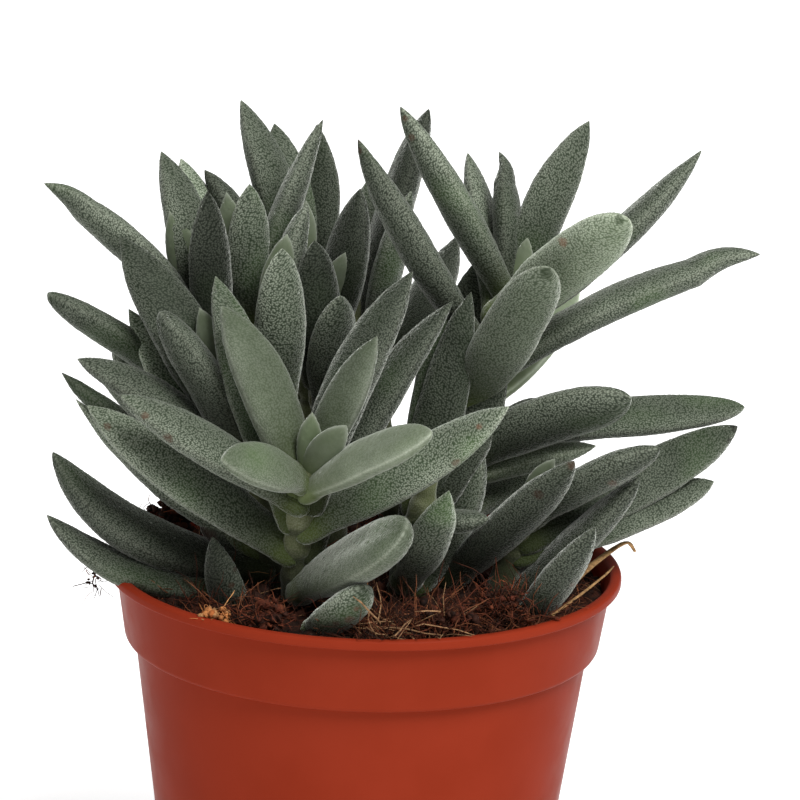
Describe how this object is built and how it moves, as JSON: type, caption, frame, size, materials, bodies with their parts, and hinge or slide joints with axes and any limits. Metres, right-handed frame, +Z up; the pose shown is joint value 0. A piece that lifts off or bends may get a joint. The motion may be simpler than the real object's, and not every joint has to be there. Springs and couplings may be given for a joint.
{
  "type": "potted crassula",
  "caption": "Clump of upright succulent shoots with opposite pairs of thick pointed grey-green leaves, in potting soil in a tapered terracotta-coloured nursery pot with a broad collar.",
  "frame": {"origin": "centre of the pot's flat underside", "axes": "+Z up along the pot's axis; -Y towards the side that the picture shows; +X to that view's right"},
  "size_m": [0.1165, 0.088, 0.1488],
  "materials": {
    "pot": "satin terracotta-coloured plastic",
    "soil": "rough, dark, fibrous",
    "stem": "matte, finely downy",
    "leaf": "matte, downy, with pale papillae"
  },
  "bodies": {
    "root": {"pot": "pot", "soil": "soil", "back_right_stem": "stem", "back_stem": "stem", "centre_stem": "stem", "front_stem": "stem", "left_back_stem": "stem", "left_low_stem": "stem", "left_stem": "stem", "middle_stem": "stem", "right_low_stem": "stem", "right_stem": "stem", "back_leaf_1": "leaf", "back_leaf_2": "leaf", "back_right_leaf_1": "leaf", "back_right_leaf_2": "leaf", "back_right_leaf_3": "leaf", "centre_leaf_1": "leaf", "centre_leaf_2": "leaf", "front_leaf_1": "leaf", "front_leaf_2": "leaf", "front_leaf_3": "leaf", "front_leaf_4": "leaf", "front_leaf_5": "leaf", "front_leaf_6": "leaf", "front_leaf_7": "leaf", "front_leaf_8": "leaf", "front_leaf_9": "leaf", "front_leaf_10": "leaf", "front_leaf_11": "leaf", "left_back_leaf_1": "leaf", "left_back_leaf_2": "leaf", "left_back_leaf_3": "leaf", "left_leaf_1": "leaf", "left_leaf_2": "leaf", "left_leaf_3": "leaf", "left_leaf_4": "leaf", "left_low_leaf_1": "leaf", "left_low_leaf_2": "leaf", "left_low_leaf_3": "leaf", "left_low_leaf_4": "leaf", "left_low_leaf_5": "leaf", "low_leaf_1": "leaf", "low_leaf_2": "leaf", "middle_leaf_1": "leaf", "middle_leaf_2": "leaf", "right_leaf_1": "leaf", "right_leaf_2": "leaf", "right_leaf_3": "leaf", "right_leaf_4": "leaf", "right_leaf_5": "leaf", "right_leaf_6": "leaf", "right_leaf_7": "leaf", "right_leaf_8": "leaf", "right_leaf_9": "leaf", "right_leaf_10": "leaf", "right_leaf_11": "leaf", "right_low_leaf_1": "leaf", "right_low_leaf_2": "leaf", "right_low_leaf_3": "leaf"}
  },
  "joints": []
}
